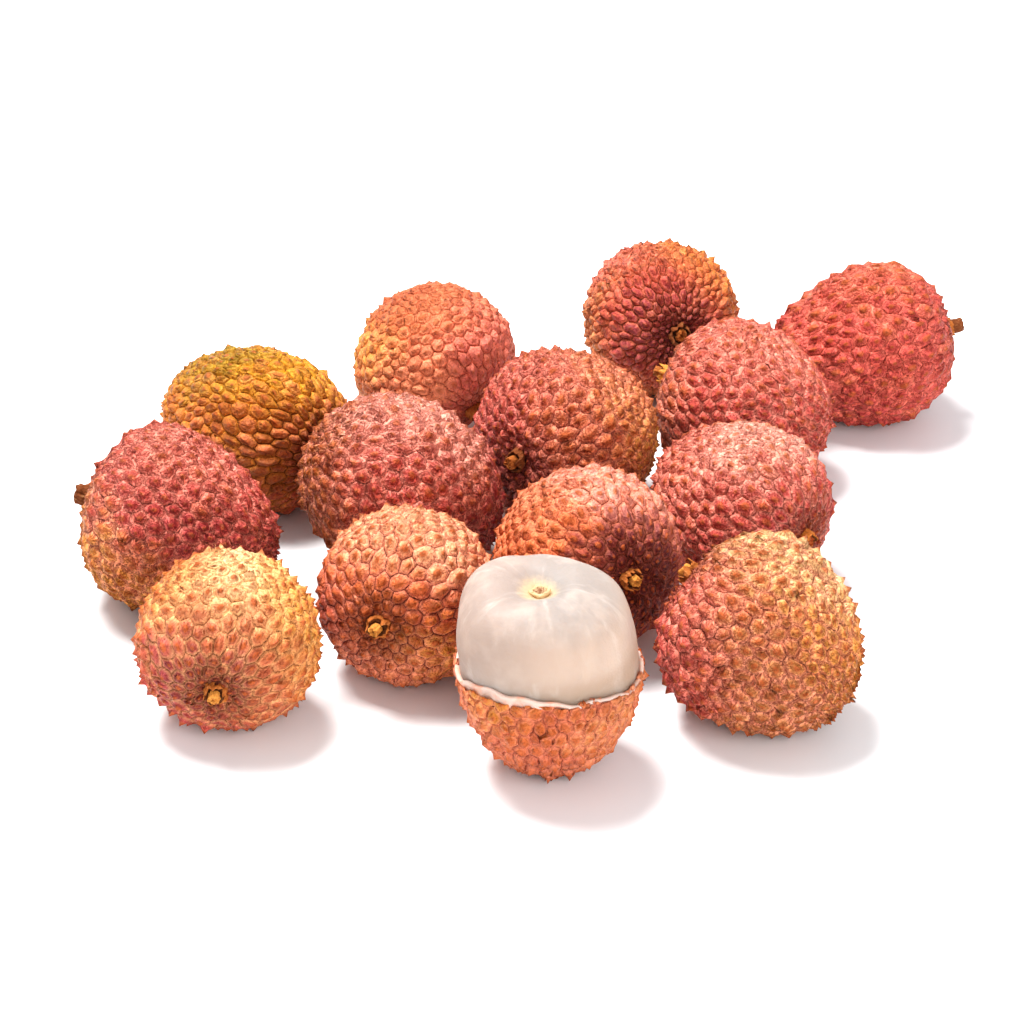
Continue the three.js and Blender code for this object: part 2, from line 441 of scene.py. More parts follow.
# %% The relief of a plate
SWOLLEN = 0.4  # how far in on a plate its swelling is whole
THORN_FOOT = 0.6  # how far in its thorn starts
SUNK = 0.5  # how much of a plate's height lies inside the measured egg
STEM_END = (0.7, 0.98)  # where the skin's relief starts to sink towards the stem, and where it has sunk
STEM_SINK = 0.45


def relief(g, given):
    """How far the skin stands out, by how far in on its plate a point is."""
    rise = g.attribute("rise")
    swell = 1 - (1 - g.math("MINIMUM", rise / SWOLLEN, 1.0)) ** 2
    thorn = g.math("MAXIMUM", (rise - THORN_FOOT) / (1 - THORN_FOOT), 0.0)
    near_stem = g.smooth(g.attribute("stemward"), *STEM_END)
    height = swell * given["Swell"] + rise * given["Tent"] + thorn * given["Thorn"]
    sunk = (given["Swell"] + given["Tent"]) * SUNK
    return height * (1 - STEM_SINK * near_stem) * g.attribute("vigour") - sunk


# %% The whole tree
# how far each flaw moves the skin, and the size of its waves
LUMPS, LUMP_WAVE = 1.2 * MM, 12 * MM
WARP, WARP_WAVE = 1.2 * MM, 3.0 * MM
CRUMPLE, CRUMPLE_WAVE = 0.5 * MM, 1.2 * MM
LEAN = 0.5 * MM  # how far the point of a thorn leans
TABLE_GAP = 0.02 * MM  # how far above the table the skin stays


def skin_tree():
    tree = bpy.data.node_groups.new("Lychee skin", "GeometryNodeTree")
    tree.interface.new_socket("Geometry", in_out="OUTPUT", socket_type="NodeSocketGeometry")
    for name, (kind, value) in SKIN_INPUTS.items():
        socket = tree.interface.new_socket(name, in_out="INPUT", socket_type=kind)
        if value is not None:
            socket.default_value = value
    g = SkinGraph(tree)
    inputs = g.add("NodeGroupInput")
    given = {name: g.field(inputs, name) for name in SKIN_INPUTS}

    mesh = inset_plates(g, marked_plates(g, strewn_plates(g, given)))
    mesh = cut_at_rim(g, given, mesh)
    mesh = g.stored(mesh, "stemward", g.place().part("Z"))
    mesh = g.moved(mesh, on_egg(g, given, g.place()))
    middle = on_egg(g, given, g.attribute("middle", "FLOAT_VECTOR"))
    mesh = g.stored(mesh, "from_tip", g.place() - middle, "CORNER", "FLOAT_VECTOR")

    normal = g.field(g.add("GeometryNodeInputNormal"), "Normal")
    lumps = (g.noise(g.place(), 1 / LUMP_WAVE, detail=1) - 0.5) * LUMPS
    crumple = (g.noise(g.place(), 1 / CRUMPLE_WAVE, detail=2) - 0.5) * CRUMPLE
    warp = (g.noise(g.place(), 1 / WARP_WAVE, detail=1, out=1) - 0.5) * WARP
    lean = g.attribute("lean", "FLOAT_VECTOR") * g.attribute("rise") ** 2 * LEAN
    mesh = g.moved(mesh, g.place() + normal * (relief(g, given) + lumps + crumple) + lean + warp)
    above_table = g.math("MAXIMUM", g.place().part("Z"), TABLE_GAP)
    mesh = g.moved(mesh, g.vector(g.place().part("X"), g.place().part("Y"), above_table))
    smooth = g.add("GeometryNodeSetShadeSmooth", None, {"Geometry": mesh, "Shade Smooth": True})
    real = g.add("GeometryNodeRealizeInstances", None, {"Geometry": g.field(smooth)})
    sockets = {"Geometry": g.field(real), "Material": given["Skin"]}
    g.add("NodeGroupOutput", None, {"Geometry": g.field(g.add("GeometryNodeSetMaterial", None, sockets))})
    return tree


SKIN_TREE = skin_tree()
print("skin tree nodes:", len(SKIN_TREE.nodes))


# %% Growing a skin
def linked(name, data):
    piece = bpy.data.objects.new(name, data)
    bpy.context.collection.objects.link(piece)
    return piece


def grown(tree, name, values):
    """Runs a tree with its inputs set, and keeps the result as a plain mesh."""
    host = linked(name + "_host", bpy.data.meshes.new(name + "_host"))
    modifier = host.modifiers.new("Grow", "NODES")
    modifier.node_group = tree
    for item in tree.interface.items_tree:
        if item.in_out == "INPUT" and item.name in values:
            modifier[item.identifier] = values[item.name]
    graph = bpy.context.evaluated_depsgraph_get()
    evaluated = host.evaluated_get(graph)
    mesh = bpy.data.meshes.new_from_object(evaluated, preserve_all_data_layers=True, depsgraph=graph)
    mesh.name = name
    bpy.data.objects.remove(host)
    return linked(name, mesh)


def triangles(piece):
    return sum(len(face.vertices) - 2 for face in piece.data.polygons)


# %% [markdown]
# ## The skin's colours
#
# A lychee ripens unevenly: one side is rosy, another straw or ochre, and the stem's end is brown. Each
# fruit gets a ground colour and a few patches, each with a direction from the fruit's middle, so the
# pattern is solid and has no seam. The patches are partly that uneven ripening and partly painted light:
# on most fruits the patches towards the top are paler, where the key light falls. Over them goes what
# every fruit shares: plates that differ a little in tone, pale borders with broken dark cracks, rusty
# thorns, folded wrinkles, spokes from each thorn, rays round the stem, and a fine grain. Ridges get a
# painted highlight and hollows and cracks a painted shade, and the same heights feed a Bump node. Every
# material starts from a `Finish`, a `Graph` with short names for what all finishes here use.


# %% Named colours
def srgb(code):
    """A colour from its six-digit code, as the linear numbers that Blender works in."""
    parts = [int(code[i : i + 2], 16) / 255 for i in (0, 2, 4)]
    return tuple(c / 12.92 if c <= 0.04045 else ((c + 0.055) / 1.055) ** 2.4 for c in parts)


COLOURS = {
    "ivory": srgb("fbd8a0"),
    "cream": srgb("f5c58a"),
    "straw": srgb("e89c48"),
    "gold": srgb("d4962e"),
    "amber": srgb("d9823a"),
    "ochre": srgb("b5692e"),
    "moss": srgb("a5842e"),
    "tan": srgb("cd8350"),
    "clay": srgb("c96f48"),
    "salmon": srgb("ea8f68"),
    "orange": srgb("de7440"),
    "pink": srgb("e27a68"),
    "blush": srgb("f0a08c"),
    "petal": srgb("f8b7a2"),
    "peach": srgb("f6ae80"),
    "rose": srgb("cf584e"),
    "crimson": srgb("b8403f"),
    "brick": srgb("a84a34"),
    "plum": srgb("964248"),
    "maroon": srgb("6c2621"),
    "rust": srgb("bc5c2a"),
    "brown": srgb("80451f"),
    "bark": srgb("4f2e16"),
}
print("named colours:", len(COLOURS))

# %% A finish
NOISE_SPREAD = 2.4  # brings a noise that lies round 0 to about 1 either way


class Finish(Graph):
    """The graph of a new material, with short names for what every finish here uses."""

    def __init__(self, name):
        self.material = bpy.data.materials.new(name)
        self.material.use_nodes = True
        super().__init__(self.material.node_tree)

    def place(self):
        return self.field(self.add("ShaderNodeTexCoord"), "Object")

    def mark(self, name, out="Fac"):
        """What the mesh keeps under a name, such as how far in on its plate a point is."""
        return self.field(self.add("ShaderNodeAttribute", {"attribute_name": name}), out)

    def flaws(self, where, scale, detail=2, roughness=0.5):
        """Noise round 0 that reaches about 1 either way."""
        return (self.noise(where, scale, detail, roughness) - 0.5) * NOISE_SPREAD

    def bump(self, height, depth, strength=1.0):
        sockets = {"Height": height, "Distance": depth, "Strength": strength}
        return self.field(self.add("ShaderNodeBump", None, sockets))

    def shaded(self, values):
        """Sets the shader's sockets, and gives the material."""
        shader = self.tree.nodes["Principled BSDF"]
        for socket, value in values.items():
            self.feed(shader.inputs[socket], value)
        return self.material


# %% Where a point is on its fruit
WRINKLE_WAVE = 1.1 * MM
GRAIN_WAVE = 0.42 * MM
FOLD, FOLD_WAVE = 2.6 * MM, 2.2 * MM  # how far both are pushed about, and in what waves


class SkinFinish(Finish):
    """A skin's finish, with what all its layers share."""

    def __init__(self, name, egg, look):
        super().__init__(name)
        self.look = look
        self.here = self.place()
        self.rise, self.tone, self.stemward = (self.mark(key) for key in ("rise", "tone", "stemward"))
        self.out = self.vector_math("NORMALIZE", self.here - tuple(egg["centre"]))
        axis = tuple(egg["axis"])
        along = self.vector_math("DOT_PRODUCT", self.out, axis, out="Value")
        self.aside = self.vector_math("NORMALIZE", self.out - self.vector_math("MULTIPLY", along, axis))
        folding = (self.noise(self.here, 1 / FOLD_WAVE, detail=1, out=1) - 0.5) * FOLD
        self.wrinkle = self.flaws(self.here + folding, 1 / WRINKLE_WAVE, roughness=0.6)
        self.grain = self.flaws(self.here + folding, 1 / GRAIN_WAVE, roughness=0.6)

    def creases(self, flaws, width):
        """1 on the lines where the flaws pass through 0, and 0 a width away from them."""
        return self.smooth(self.math("ABSOLUTE", flaws), width, 0.0)


# %% The fine relief
# the share that each flaw has in the fine relief
WRINKLES, GRAIN, SPOKES, CREASES = 0.55, 0.35, 0.35, 0.3
RAYS, GROOVES = 0.7, 0.3
CREASE_WIDTH = 0.12
# a pace says how fast a flaw changes round its middle; a drift, how fast it changes outwards, per metre
SPOKE_PACE = 2.2
RAY_PACE, RAY_DRIFT = 9, 130
GROOVE_WIDTH = 0.15
SPOKE_SHUFFLE, RAY_SHUFFLE = 60, 37  # a plate's tone moves its flaws, so that no two plates share them
RAY_GROWTH = 0.35  # from where the rays start to where they are whole, along the axis
RAY_CALM = 0.4  # how much of the other flaws whole rays take away
PLATE_EDGE = (0.02, 0.3)  # how far in on a plate the spokes start and are whole
THORN_SIDE, THORN_CALM = (0.5, 0.8), 0.5  # a thorn is smoother than the plate round it


def fine_relief(g):
    """Heights round 0: folded wrinkles, grain, spokes from each thorn and rays round the stem."""
    spoke_way = g.vector_math("NORMALIZE", g.mark("from_tip", "Vector"))
    spokes = g.flaws(spoke_way * SPOKE_PACE + g.tone * SPOKE_SHUFFLE, 1.0, roughness=0.6)
    fan = g.flaws(g.aside * RAY_PACE + g.here * RAY_DRIFT + g.tone * RAY_SHUFFLE, 1.0, roughness=0.6)
    depth, start = g.look["rays"]
    near_stem = g.smooth(g.stemward, start, start + RAY_GROWTH) * depth
    rays = fan * RAYS - g.creases(fan, GROOVE_WIDTH) * GROOVES
    fine = g.wrinkle * WRINKLES + g.grain * GRAIN + spokes * g.smooth(g.rise, *PLATE_EDGE) * SPOKES
    fine = fine - g.creases(g.wrinkle, CREASE_WIDTH) * CREASES
    fine = (fine * (1 - near_stem * RAY_CALM) + rays * near_stem) * g.look["fine"]
    return fine * (1 - g.smooth(g.rise, *THORN_SIDE) * THORN_CALM)


# %% The ground and its patches
PATCH_WAVE, PATCH_WANDER = 6 * MM, 0.9  # the border of a patch wanders in these waves, this far
PLATE_WANDER = 0.12  # and it keeps to whole plates this much
PATCH_EDGE = 0.3  # how softly it ends


def direction(heading, pitch):
    heading, pitch = math.radians(heading), math.radians(pitch)
    return (math.cos(heading) * math.cos(pitch), math.sin(heading) * math.cos(pitch), math.sin(pitch))


# The ground and the patches are partly the fruit's uneven ripening and partly painted light: on most fruits
# the patches towards the top are paler, where the key light falls.
def ripening_and_painted_light(g):
    blotch = (g.noise(g.here, 1 / PATCH_WAVE, detail=4, roughness=0.65) - 0.5) * PATCH_WANDER
    blotch = blotch + (g.tone - 0.5) * PLATE_WANDER
    colour = COLOURS[g.look["ground"]]
    for heading, pitch, spread, patch in g.look["patches"]:
        near = g.vector_math("DOT_PRODUCT", g.out, direction(heading, pitch), out="Value")
        edge = math.cos(math.radians(spread))
        mask = g.smooth(near + blotch, edge - PATCH_EDGE, edge + PATCH_EDGE)
        colour = g.mix(mask, colour, COLOURS[patch])
    return colour


# %% The plates' colours
# a span says where a layer of colour starts and where it is whole; a wander, how far its edge strays
BORDER_SPAN, BORDER_WANDER = (0.5, 0.05), 0.15
PALE_TONES, DARK_TONES, TONE_DEPTH = (0.72, 1.0), (0.28, 0.0), 0.3
STEM_WHOLE = 0.99  # how far along the axis the colour of the stem's end is whole
CRACK_SPAN, CRACK_WANDER = (0.075, 0.01), 0.03
BREAK_WAVE, BREAK_SPAN = 2.5 * MM, (0.46, 0.62)  # a crack shows in some stretches and not in others
CLOSED_SPAN, CLOSED_DEPTH = (0.3, 0.8), 0.14  # towards the stem it shows in more of them
TIP_GROWTH, TIP_WANDER, TIP_CHOICE = 0.2, 0.1, 0.25  # by its tone, a plate has a larger tip or a smaller one
POINT_SPAN, POINT_DEPTH, POINT_WANDER = (0.78, 0.95), 0.45, 0.1


def plated(g, colour, border, crack):
    """Borders, tones, the stem's end, cracks, thorns and their points, laid over a colour."""
    border_colour, border_depth = g.look["border"]
    colour = g.mix(border * border_depth, colour, COLOURS[border_colour])
    colour = g.mix(g.smooth(g.tone, *PALE_TONES) * TONE_DEPTH, colour, COLOURS["salmon"])
    colour = g.mix(g.smooth(g.tone, *DARK_TONES) * TONE_DEPTH, colour, COLOURS["brick"])
    end_colour, end_depth, end_start = g.look["end"]
    colour = g.mix(g.smooth(g.stemward, end_start, STEM_WHOLE) * end_depth, colour, COLOURS[end_colour])
    crack_colour, crack_depth = g.look["crack"]
    colour = g.mix(crack * crack_depth, colour, COLOURS[crack_colour])
    tip_colour, tip_depth = g.look["tip"]
    tip = g.rise + g.wrinkle * TIP_WANDER + (g.tone - 0.5) * TIP_CHOICE
    tip = g.smooth(tip, g.look["nub"], g.look["nub"] + TIP_GROWTH)
    colour = g.mix(tip * tip_depth, colour, COLOURS[tip_colour])
    point = g.smooth(g.rise + g.grain * POINT_WANDER, *POINT_SPAN)
    return g.mix(point * POINT_DEPTH, colour, COLOURS["brown"])


# %% The skin's material
# painted shade and painted highlight: hollows and cracks are darkened by a multiplied colour, and ridges and
# borders are made paler
HOLLOW_SHADE = (0.46, 0.24, 0.18)  # what a hollow keeps of the light
HOLLOW_SHADE_SPAN, HOLLOW_SHADE_DEPTH = (0.0, -0.35), 0.7
RIDGE_HIGHLIGHT = (1.5, 1.55, 1.5)  # how much paler a ridge is
RIDGE_HIGHLIGHT_SPAN, RIDGE_HIGHLIGHT_DEPTH, RIDGE_HIGHLIGHT_TINT = (0.05, 0.38), 0.9, 0.2
CRACK_SHADE, BORDER_HIGHLIGHT = 0.2, 0.1  # how far a crack counts as a hollow, and a border as a ridge
NUB_SPAN, NUB_WANDER = (0.35, 0.95), 0.08
SIDE_SPAN, SIDE_RISE = (0.0, 0.3), 0.5  # how a plate's side comes up out of its crack
CRACK_DROP = 0.3
SKIN_BUMP = 0.6 * MM
SKIN_ROUGHNESS, HOLLOW_ROUGHNESS = 0.5, 0.25


def skin_material(name, egg, look):
    g = SkinFinish(name, egg, look)
    fine = fine_relief(g)
    border = g.smooth(g.rise + g.wrinkle * BORDER_WANDER, *BORDER_SPAN)
    breaks = g.noise(g.here, 1 / BREAK_WAVE) + g.smooth(g.stemward, *CLOSED_SPAN) * CLOSED_DEPTH
    crack = g.smooth(g.rise + g.grain * CRACK_WANDER, *CRACK_SPAN) * g.smooth(breaks, *BREAK_SPAN)
    colour = plated(g, ripening_and_painted_light(g), border, crack)
    # painted shade in the hollows of the fine relief and in the cracks, and a painted highlight on its ridges
    # and on the borders
    hollow = g.smooth(fine - crack * CRACK_SHADE, *HOLLOW_SHADE_SPAN)
    colour = g.mix(hollow * HOLLOW_SHADE_DEPTH, colour, HOLLOW_SHADE, "MULTIPLY")
    ridge_highlight = g.smooth(fine + border * BORDER_HIGHLIGHT, *RIDGE_HIGHLIGHT_SPAN)
    colour = g.mix(ridge_highlight * RIDGE_HIGHLIGHT_DEPTH, colour, RIDGE_HIGHLIGHT, "MULTIPLY")
    colour = g.mix(ridge_highlight * RIDGE_HIGHLIGHT_TINT, colour, COLOURS[look["border"][0]])
    nubs = g.smooth(g.rise + g.wrinkle * NUB_WANDER, *NUB_SPAN) * look["bump"]
    height = fine + nubs + g.smooth(g.rise, *SIDE_SPAN) * SIDE_RISE - crack * CRACK_DROP
    return g.shaded({
        "Base Color": colour,
        "Normal": g.bump(height, SKIN_BUMP),
        "Roughness": SKIN_ROUGHNESS + hollow * HOLLOW_ROUGHNESS,
        "Specular IOR Level": 0.3,
    })


# %% How each fruit looks
# patches: the heading and the pitch that each lies in and its spread, all in degrees, and its colour
# border, crack, tip: a colour and how strong it is; nub: how far in on a plate the tip's colour starts
# fine: how deep the fine relief is; bump: how high the bump of a thorn is
# plate: how close the plates' middles may lie on a ball of radius 1
# crowding: how much smaller the plates get round the stem
# relief: the heights of a plate's swelling, of its tent and of its thorn in millimetres
# rays: how deep they are, and where they start along the axis, from -1 at the tip to 1 at the stem
# end: the colour of the fruit's end at the stem, how strong it is and where it starts along the axis
PLAIN_LOOK = {
    "nub": 0.6, "bump": 1.6, "crowding": 1.2, "rays": (0.3, 0.6), "end": ("brown", 0.5, 0.84),
}
LOOKS = {
    "front_left": {
        "ground": "clay",
        "patches": [
            (70, 70, 68, "cream"), (40, 76, 34, "ivory"), (0, 20, 44, "straw"), (170, 38, 42, "amber"),
            (-95, 28, 26, "clay"), (-130, -25, 42, "rose"), (-110, -6, 24, "plum"),
        ],
        "border": ("cream", 0.4), "crack": ("brown", 0.12), "tip": ("rust", 0.9), "nub": 0.64,
        "fine": 0.7, "plate": 0.15, "relief": (0.3, 0.4, 0.5), "rays": (0.6, 0.45), "crowding": 0.4,
    },
    "far_left": {
        "ground": "rose",
        "patches": [
            (-85, 20, 40, "crimson"), (80, 75, 50, "pink"), (185, -5, 34, "tan"), (-145, -32, 50, "straw"),
        ],
        "border": ("blush", 0.5), "crack": ("maroon", 0.4), "tip": ("rust", 0.7), "nub": 0.62,
        "fine": 1.7, "plate": 0.15, "relief": (0.25, 0.65, 0.4), "bump": 2.5,
    },
    "back_left": {
        "ground": "ochre",
        "patches": [
            (80, 50, 80, "gold"), (190, 5, 36, "amber"), (150, 60, 34, "moss"), (-30, -20, 44, "brick"),
        ],
        "border": ("gold", 0.3), "crack": ("bark", 0.4), "tip": ("rust", 0.7),
        "fine": 0.7, "plate": 0.125, "relief": (0.7, 0.35, 0.15),
    },
    "mid_left": {
        "ground": "brick",
        "patches": [
            (65, 68, 70, "blush"), (-90, 20, 40, "rose"), (178, -5, 56, "ochre"), (0, -25, 45, "crimson"),
        ],
        "border": ("blush", 0.6), "crack": ("maroon", 0.5), "tip": ("rust", 0.7),
        "fine": 1.6, "plate": 0.15, "relief": (0.3, 0.65, 0.35), "bump": 2.2,
    },
    "back_middle": {
        "ground": "salmon",
        "patches": [
            (165, 30, 56, "straw"), (100, 70, 60, "clay"), (-30, 10, 44, "pink"), (-40, -35, 40, "rose"),
        ],
        "border": ("salmon", 0.2), "crack": ("brick", 0.2), "tip": ("rust", 0.5),
        "fine": 0.65, "plate": 0.14, "relief": (0.35, 0.25, 0.15), "bump": 1.1,
    },
    "front_middle": {
        "ground": "orange",
        "patches": [
            (60, 68, 66, "salmon"), (70, 78, 58, "peach"), (-110, 6, 30, "rust"), (200, -20, 40, "brick"),
            (-66, -28, 28, "gold"), (-110, -45, 34, "salmon"),
        ],
        "border": ("blush", 0.4), "crack": ("maroon", 0.6), "tip": ("rust", 0.9), "nub": 0.62,
        "fine": 0.85, "plate": 0.155, "relief": (0.45, 0.5, 0.35), "rays": (0.35, 0.45), "crowding": 0.3,
    },
    "centre": {
        "ground": "clay",
        "patches": [
            (190, 20, 46, "rose"), (120, 70, 50, "pink"), (10, 20, 60, "straw"), (30, 55, 44, "salmon"),
            (-131, -8, 24, "plum"),
        ],
        "border": ("blush", 0.4), "crack": ("maroon", 0.4), "tip": ("rust", 0.8),
        "fine": 1.3, "plate": 0.13, "relief": (0.4, 0.55, 0.35), "rays": (0.2, 0.6), "crowding": 0.6,
        "bump": 2.2, "end": ("maroon", 0.2, 0.88),
    },
    "behind_peeled": {
        "ground": "orange",
        "patches": [
            (150, 60, 40, "salmon"), (15, 48, 60, "blush"), (-50, -5, 44, "rose"), (-59, 0, 44, "plum"),
            (-62, 2, 36, "maroon"),
        ],
        "border": ("salmon", 0.5), "crack": ("maroon", 0.4), "tip": ("rust", 0.85),
        "fine": 0.85, "plate": 0.145, "relief": (0.35, 0.4, 0.3), "rays": (0.4, 0.55), "crowding": 0.8,
        "end": ("maroon", 0.6, 0.7),
    },
    "far_back": {
        "ground": "tan",
        "patches": [
            (-90, 25, 54, "rose"), (-85, 10, 34, "plum"), (130, 50, 48, "pink"), (30, 35, 54, "amber"),
        ],
        "border": ("salmon", 0.5), "crack": ("bark", 0.5), "tip": ("rust", 0.4),
        "fine": 0.85, "plate": 0.12, "relief": (0.85, 0.4, 0.12), "rays": (0.3, 0.5),
        "end": ("maroon", 0.2, 0.8),
    },
    "back_right": {
        "ground": "rose",
        "patches": [(80, 75, 60, "pink"), (175, 0, 42, "clay")],
        "border": ("blush", 0.6), "crack": ("maroon", 0.4), "tip": ("rust", 0.7),
        "fine": 1.1, "plate": 0.14, "relief": (0.3, 0.5, 0.25),
    },
    "far_right": {
        "ground": "rose",
        "patches": [
            (90, 75, 30, "orange"), (120, 60, 34, "pink"), (-150, -20, 30, "pink"), (-90, -45, 32, "crimson"),
        ],
        "border": ("pink", 0.6), "crack": ("crimson", 0.4), "tip": ("rust", 0.75),
        "fine": 1.0, "plate": 0.155, "relief": (0.3, 0.8, 0.25), "bump": 2.0,
    },
    "mid_right": {
        "ground": "rose",
        "patches": [
            (110, 65, 68, "blush"), (110, 75, 36, "petal"), (170, 15, 54, "pink"), (-40, -10, 34, "crimson"),
        ],
        "border": ("blush", 0.6), "crack": ("maroon", 0.4), "tip": ("rust", 0.75),
        "fine": 1.2, "plate": 0.15, "relief": (0.3, 0.55, 0.3),
    },
    "front_right": {
        "ground": "tan",
        "patches": [
            (0, 30, 62, "straw"), (40, 55, 48, "cream"), (185, 5, 50, "pink"), (190, -10, 40, "rose"),
        ],
        "border": ("blush", 0.5), "crack": ("bark", 0.3), "tip": ("rust", 0.85),
        "fine": 1.15, "plate": 0.135, "relief": (0.45, 0.65, 0.4), "bump": 2.1,
    },
}
print("looks:", len(LOOKS))

# %% The thirteen skins
total = 0
for number, name in enumerate(WHOLE):
    egg, look = EGGS[name], PLAIN_LOOK | LOOKS[name]
    swell, tent, thorn = look["relief"]
    values = {
        "Seed": number,
        "Plate size": look["plate"],
        "Crowding": look["crowding"],
        "Centre": egg["centre"],
        "Turn": egg["axis"].to_track_quat("Z", "Y").to_euler(),
        "Half length": egg["half_length"],
        "Half width": egg["half_width"],
        "Shoulder": egg["shoulder"],
        "Swell": swell * MM,
        "Tent": tent * MM,
        "Thorn": thorn * MM,
        "Skin": skin_material("Skin " + name, egg, look),
    }
    piece = grown(SKIN_TREE, "skin_" + name, values)
    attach(piece, "root")
    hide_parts("lychee_" + name)
    total += triangles(piece)
print("triangles in the thirteen skins:", total)

# %% [markdown]
# ## Stalks
#
# Each fruit was pulled off its twig, so its stalk is a short woody stub in the hollow of a dried, ragged
# collar. Both are turned shapes with flaws: a profile is swept round the stem's axis, and noise breaks
# its rim and its fibres. The foot and the length come from the stem's own solid.


# %% Smooth profiles
def spline(points, steps):
    """Points on a smooth curve through a list of points, with the given steps between two of them."""
    points = np.array(points, float)
    padded = np.vstack([points[0], points, points[-1]])
    share = np.linspace(0, 1, steps, endpoint=False)[:, None]
    curve = []
    for a, b, c, d in zip(padded, padded[1:], padded[2:], padded[3:]):
        bend = (2 * a - 5 * b + 4 * c - d) * share**2 + (3 * b - a - 3 * c + d) * share**3
        curve.append(0.5 * (2 * b + (c - a) * share + bend))
    return np.vstack([*curve, points[-1:]])


# %% Turned pieces with flaws
def round_angle(column, columns):
    return 2 * math.pi * column / columns


def smooth_mesh(name, points, faces):
    mesh = bpy.data.meshes.new(name)
    mesh.from_pydata([tuple(p) for p in points], [], faces)
    mesh.polygons.foreach_set("use_smooth", [True] * len(faces))
    return mesh


def swept(name, rows, columns, corner, marks):
    """A closed piece from corner(row, column), whose first and last rows are single points.

    Each mark is a name, and a function of row and column for what the points keep under it.
    """
    grid = [[corner(row, column) for column in range(columns)] for row in range(1, rows - 1)]
    points = [corner(0, 0)] + [p for ring in grid for p in ring] + [corner(rows - 1, 0)]
    last, faces = len(points) - 1, []
    for column in range(columns):
        beside = (column + 1) % columns
        faces.append((0, 1 + beside, 1 + column))
        for ring in range(rows - 3):
            near, far = 1 + ring * columns, 1 + (ring + 1) * columns
            faces.append((near + column, near + beside, far + beside, far + column))
        top = 1 + (rows - 3) * columns
        faces.append((top + column, top + beside, last))
    mesh = smooth_mesh(name, points, faces)
    for label, value in marks.items():
        kept = [value(0, 0)]
        kept += [value(row, column) for row in range(1, rows - 1) for column in range(columns)]
        kept.append(value(rows - 1, 0))
        kind, key = ("FLOAT_VECTOR", "vector") if np.ndim(kept[0]) else ("FLOAT", "value")
        layer = mesh.attributes.new(label, kind, "POINT")
        layer.data.foreach_set(key, np.array(kept, np.float32).ravel())
    return linked(name, mesh)


# %% The stalk's material
FIBRES, WOOD_GRAIN, WOOD_GRAIN_WAVE = 0.7, 0.3, 0.3 * MM
WOOD_BUMP = 0.3 * MM
STUB_SPAN = (0.3, 0.7)
# painted shade in the fibres' low lines and a painted highlight on their raised ones
DEEP_SHADE_SPAN, DEEP_SHADE_DEPTH = (0.0, -0.5), 0.7
HIGHLIGHT_SPAN, HIGHLIGHT_DEPTH = (0.1, 0.5), 0.5
# painted shade: the hollow between the collar and the stub is painted dark
SOCKET_SHADE_SPAN, SOCKET_SHADE_DEPTH = (0.2, 0.8), 0.85  # the dark hollow between the collar and the stub


def stalk_material(name, collar, stub):
    g = Finish(name)
    fibres = g.flaws(g.mark("fibre", "Vector"), 1.0, detail=3, roughness=0.7)
    fine = fibres * FIBRES + g.flaws(g.place(), 1 / WOOD_GRAIN_WAVE) * WOOD_GRAIN
    colour = g.mix(g.smooth(g.mark("stub"), *STUB_SPAN), COLOURS[collar], COLOURS[stub])
    # painted shade where the fibres are low, and a painted highlight where they are high
    colour = g.mix(g.smooth(fine, *DEEP_SHADE_SPAN) * DEEP_SHADE_DEPTH, colour, COLOURS["bark"])
    colour = g.mix(g.smooth(fine, *HIGHLIGHT_SPAN) * HIGHLIGHT_DEPTH, colour, COLOURS["cream"])
    # painted shade in the hollow inside the collar
    colour = g.mix(g.smooth(g.mark("hollow"), *SOCKET_SHADE_SPAN) * SOCKET_SHADE_DEPTH, colour, COLOURS["bark"])
    return g.shaded({
        "Base Color": colour,
        "Normal": g.bump(fine, WOOD_BUMP),
        "Roughness": 0.7,
        "Specular IOR Level": 0.25,
    })


# %% A stalk's profile
STALK_SINK = 0.9  # how far it starts below the foot of the stem's solid, in mm
COLLAR_TOP = 1.05  # the height of the collar's rim, in mm


def stalk_profile(length, stub_radius):
    """Radius and height in millimetres from under the collar to the stub's broken end."""
    collar = [(0, -STALK_SINK), (1.6, -STALK_SINK), (2.3, -0.5), (2.2, 0.1), (2.1, 0.7), (1.95, COLLAR_TOP)]
    hollow = [(1.75, COLLAR_TOP), (stub_radius + 0.3, 0.7), (stub_radius + 0.12, 0.35), (stub_radius, 0.4)]
    stub = [(stub_radius, 0.8), (stub_radius * 0.95, length * 0.55 + 0.4), (stub_radius * 0.92, length - 0.3)]
    end = [(stub_radius * 0.8, length), (stub_radius * 0.45, length - 0.05), (0, length - 0.2)]
    return collar, hollow, stub, end


# %% A stalk's flaws
# how deep each flaw is and how fast it changes round the stalk
BROAD_FLAW, FINE_FLAW = (0.2, 1.4), (0.15, 3.5)
RIM_FLAW, BREAK_FLAW = (1.3, 2.2), (0.45, 2.5)
BROAD_RUN, FINE_RUN = 0.2, 0.3  # how fast the first two change along it
RIM_SLICE = 5.0  # the height in the noise that the rim's flaws are read at
COLLAR_BLUR, BREAK_REACH = 0.35, 0.5  # how far the rim's flaws and the break reach along it, in mm
COLLAR_GAP = 0.2  # what lies further out than this from the stub belongs to the collar
STALK_SHUFFLE = 7.3  # sets the flaws of two stalks apart


def stalk_flaw(number, x, y, z, flaw):
    depth, pace = flaw
    return depth * mathutils.noise.noise(Vector((x * pace + number * STALK_SHUFFLE, y * pace, z * pace)))


